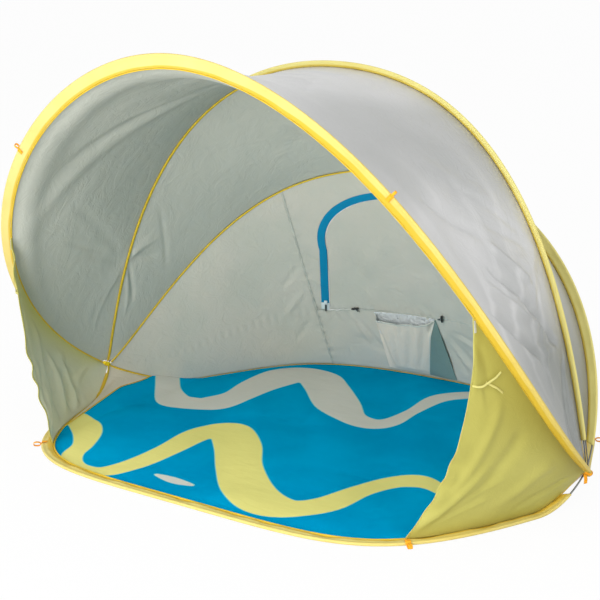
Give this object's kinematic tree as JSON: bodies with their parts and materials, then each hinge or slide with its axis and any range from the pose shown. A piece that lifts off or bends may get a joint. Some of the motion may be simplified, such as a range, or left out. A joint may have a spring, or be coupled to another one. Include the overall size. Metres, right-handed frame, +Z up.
{
  "type": "pop-up beach tent",
  "caption": "Pop-up beach tent with spring-wire arches in yellow sleeves, a silver-grey roof and back wall, a zipped rear window, yellow doorway wings and a blue printed groundsheet",
  "frame": {"origin": "on the ground, under the middle of the tent's overall box", "axes": "+X to the tent's right as seen from the doorway, +Y from the doorway to the back wall, +Z up"},
  "size_m": [1.5904, 1.2682, 1.0361],
  "materials": {
    "spring_steel": "plain spring steel wire",
    "sleeve_fabric": "light yellow woven polyester",
    "roof_fabric": "silver-coated polyester, grey-green inside",
    "wing_fabric": "yellow polyester",
    "groundsheet_fabric": "blue coated polyester with a printed wave stripe",
    "zip_tape": "blue woven tape",
    "webbing": "orange webbing",
    "toggle_plastic": "black moulded plastic"
  },
  "bodies": {
    "tent_base": {"floor_back_wire": "spring_steel", "floor_back_ferrule": "spring_steel", "floor_back_sleeve": "sleeve_fabric", "rear_arch_wire": "spring_steel", "rear_arch_sleeve": "sleeve_fabric", "roof_rear_panel": "roof_fabric", "back_panel_left": "roof_fabric", "back_panel_right": "roof_fabric", "back_panel_upper": "roof_fabric", "back_panel_lower": "roof_fabric", "window_zip_tape": "zip_tape", "back_wall_pocket": "roof_fabric", "groundsheet": "groundsheet_fabric", "side_gusset_left": "roof_fabric", "side_gusset_right": "roof_fabric", "crossing_tie_left": "webbing", "crossing_tie_right": "webbing", "back_peg_loop_left": "webbing", "back_peg_loop_right": "webbing"},
    "floor_front_hoop": {"floor_front_wire": "spring_steel", "floor_front_ferrule": "spring_steel", "floor_front_sleeve": "sleeve_fabric", "front_peg_loop_left": "webbing", "front_peg_loop_right": "webbing"},
    "front_arch_hoop": {"front_arch_wire": "spring_steel", "front_arch_sleeve": "sleeve_fabric", "roof_front_panel": "roof_fabric", "doorway_wing_left": "wing_fabric", "doorway_wing_right": "wing_fabric", "wing_ribbon_left": "sleeve_fabric", "wing_ribbon_right": "sleeve_fabric", "guy_loop_left": "webbing", "guy_loop_right": "webbing"},
    "middle_arch_hoop": {"middle_arch_wire_front": "spring_steel", "middle_arch_wire_rear": "spring_steel", "middle_arch_sleeve": "sleeve_fabric"},
    "rear_window_flap": {"rear_window_flap": "roof_fabric"},
    "zip_slider": {"zip_slider": "toggle_plastic", "zip_pull": "spring_steel"},
    "toggle_left": {"toggle_left": "toggle_plastic"},
    "toggle_middle": {"toggle_middle": "toggle_plastic"},
    "toggle_right": {"toggle_right": "toggle_plastic"}
  },
  "joints": [
    {"name": "floor_front_fold", "type": "hinge", "parent": "tent_base", "child": "floor_front_hoop", "pos_m": [0, -0.0577, 0.0788], "axis": [-1, 0, 0], "range_deg": [0, 95], "stiffness_Nm_per_rad": 1.2, "springref_deg": -17.19, "deforming": ["groundsheet", "side_gusset_left", "side_gusset_right"]},
    {"name": "front_arch_fold", "type": "hinge", "parent": "floor_front_hoop", "child": "front_arch_hoop", "pos_m": [0, -0.0577, 0.0788], "axis": [-1, 0, 0], "range_deg": [-55, 0], "deforming": ["roof_front_panel", "doorway_wing_left", "doorway_wing_right", "wing_ribbon_left", "wing_ribbon_right"]},
    {"name": "middle_arch_fold", "type": "hinge", "parent": "front_arch_hoop", "child": "middle_arch_hoop", "pos_m": [0, -0.0577, 0.0788], "axis": [-1, 0, 0], "range_deg": [-26, 0], "deforming": ["roof_rear_panel"]},
    {"name": "rear_window_flap_hinge", "type": "hinge", "parent": "tent_base", "child": "rear_window_flap", "pos_m": [0.01, 0.49818, 0.21351], "axis": [1, 0, 0], "range_deg": [0, 90], "deforming": ["rear_window_flap"]},
    {"name": "zip_slide", "type": "slide", "parent": "tent_base", "child": "zip_slider", "axis": [0.2245, -0.3492, 0.9098], "range_m": [0, 0.11]},
    {"name": "toggle_left_swing", "type": "hinge", "parent": "tent_base", "child": "toggle_left", "pos_m": [-0.253, 0.47848, 0.20038], "axis": [-1, 0, 0], "range_deg": [-5, 70]},
    {"name": "toggle_middle_swing", "type": "hinge", "parent": "tent_base", "child": "toggle_middle", "pos_m": [0.01, 0.49669, 0.21174], "axis": [-1, 0, 0], "range_deg": [-5, 70]},
    {"name": "toggle_right_swing", "type": "hinge", "parent": "tent_base", "child": "toggle_right", "pos_m": [0.273, 0.47425, 0.19821], "axis": [-1, 0, 0], "range_deg": [-5, 70]}
  ],
  "couplings": [
    {"joint": "front_arch_fold", "follows": "floor_front_fold", "ratio": -0.57895},
    {"joint": "middle_arch_fold", "follows": "floor_front_fold", "ratio": -0.27368}
  ]
}
